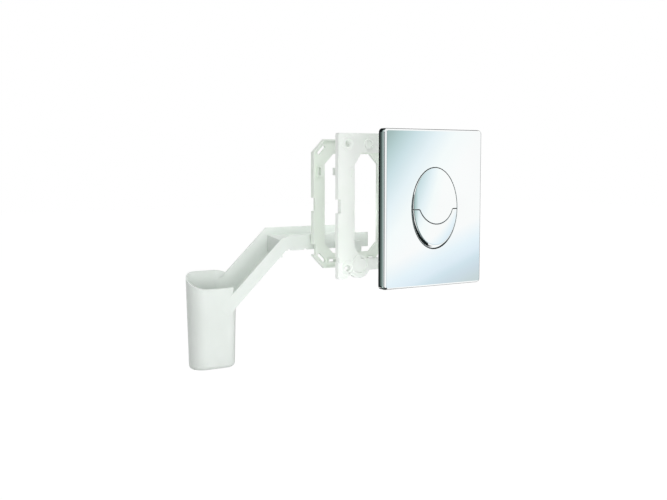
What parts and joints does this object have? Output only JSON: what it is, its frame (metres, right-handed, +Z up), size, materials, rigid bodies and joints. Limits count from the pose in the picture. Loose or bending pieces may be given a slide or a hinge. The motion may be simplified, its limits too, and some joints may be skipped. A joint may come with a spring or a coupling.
{
  "type": "flush plate",
  "caption": "Wall flush plate with a split oval push button, its carrier and mounting frames, and a chute that leads cistern tabs down into a cup, shown apart.",
  "frame": {"origin": "centre of the mounting frame at its back face, where it is fixed to the cistern's opening", "axes": "+X right for someone facing the plate, +Y into the wall, +Z up"},
  "size_m": [0.3172, 0.2415, 0.3145],
  "materials": {
    "white_plastic": "satin moulded",
    "inner_plastic": "satin moulded",
    "chrome_plate": "mirror plated",
    "chrome_button": "mirror plated",
    "steel": "drawn",
    "black_rubber": "matte"
  },
  "bodies": {
    "cistern_side": {"mounting_frame": "white_plastic", "tab_chute": "white_plastic"},
    "carrier": {"carrier_frame": "white_plastic"},
    "plate": {"cover_plate": "chrome_plate", "button_housing": "inner_plastic", "housing_screws": "steel", "upper_hinge_pin": "steel", "lower_hinge_pins": "steel", "upper_bellows": "black_rubber", "lower_bellows": "black_rubber", "upper_bellows_ring": "inner_plastic", "lower_bellows_ring": "inner_plastic", "upper_hose_spigot": "inner_plastic", "lower_hose_spigot": "inner_plastic"},
    "upper_button": {"upper_button_cap": "chrome_button", "upper_button_lever": "inner_plastic"},
    "lower_button": {"lower_button_cap": "chrome_button", "lower_button_lever": "inner_plastic"}
  },
  "joints": [
    {"name": "carrier_seat", "type": "slide", "parent": "cistern_side", "child": "carrier", "axis": [0, 1, 0], "range_m": [0, 0.064]},
    {"name": "plate_seat", "type": "slide", "parent": "carrier", "child": "plate", "axis": [0, 1, 0], "range_m": [0, 0.099]},
    {"name": "upper_press", "type": "hinge", "parent": "plate", "child": "upper_button", "pos_m": [0, -0.1782, 0.04], "axis": [1, 0, 0], "range_deg": [0, 4], "stiffness_Nm_per_rad": 6, "deforming": ["upper_bellows"]},
    {"name": "lower_press", "type": "hinge", "parent": "plate", "child": "lower_button", "pos_m": [0, -0.1782, -0.012], "axis": [1, 0, 0], "range_deg": [0, 5.5], "stiffness_Nm_per_rad": 4, "deforming": ["lower_bellows"]}
  ]
}
